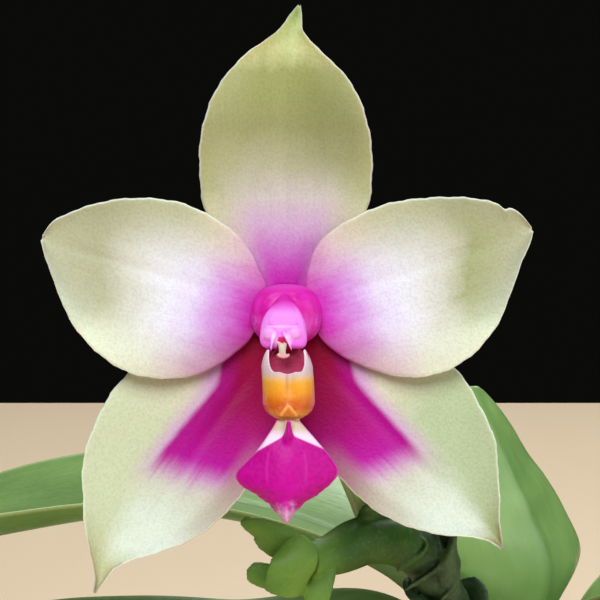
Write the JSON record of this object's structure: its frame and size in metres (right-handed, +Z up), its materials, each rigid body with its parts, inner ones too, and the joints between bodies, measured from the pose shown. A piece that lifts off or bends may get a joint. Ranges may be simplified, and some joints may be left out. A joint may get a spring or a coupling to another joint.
{
  "type": "potted moth orchid",
  "caption": "Potted moth orchid in bloom: star-shaped green and white flower with a magenta lip on a short spike, broad arching leaves, thick roots and a plain clay pot.",
  "frame": {"origin": "centre of the pot's flat foot", "axes": "+Z up, the flower looks along -Y and the leaves spread along X"},
  "size_m": [0.3249, 0.1713, 0.2082],
  "materials": {
    "terracotta": "matte",
    "bark": "matte",
    "stem": "satin",
    "root": "matte",
    "leaf": "satin",
    "spike": "satin",
    "pedicel": "satin",
    "sepal": "satin",
    "lateral_sepal": "satin",
    "petal": "satin",
    "column": "satin",
    "anther_cap": "satin",
    "pollen": "satin",
    "side_lobe": "satin",
    "mid_lobe": "satin"
  },
  "bodies": {
    "root": {"pot": "terracotta", "bark_medium": "bark", "stem": "stem", "root_over_rim": "root", "root_front_left": "root", "root_back_left": "root", "root_back_right": "root", "root_aerial": "root", "leaf_upper_left": "leaf", "leaf_upper_right": "leaf", "leaf_lower_left": "leaf", "leaf_lower_right": "leaf", "leaf_young": "leaf", "flower_spike": "spike", "pedicel": "pedicel", "sepal_dorsal": "sepal", "sepal_left": "lateral_sepal", "sepal_right": "lateral_sepal", "petal_left": "petal", "petal_right": "petal", "column": "column", "anther_cap": "anther_cap", "pollinarium": "pollen", "lip_side_lobes": "side_lobe", "lip_midlobe": "mid_lobe"}
  },
  "joints": []
}
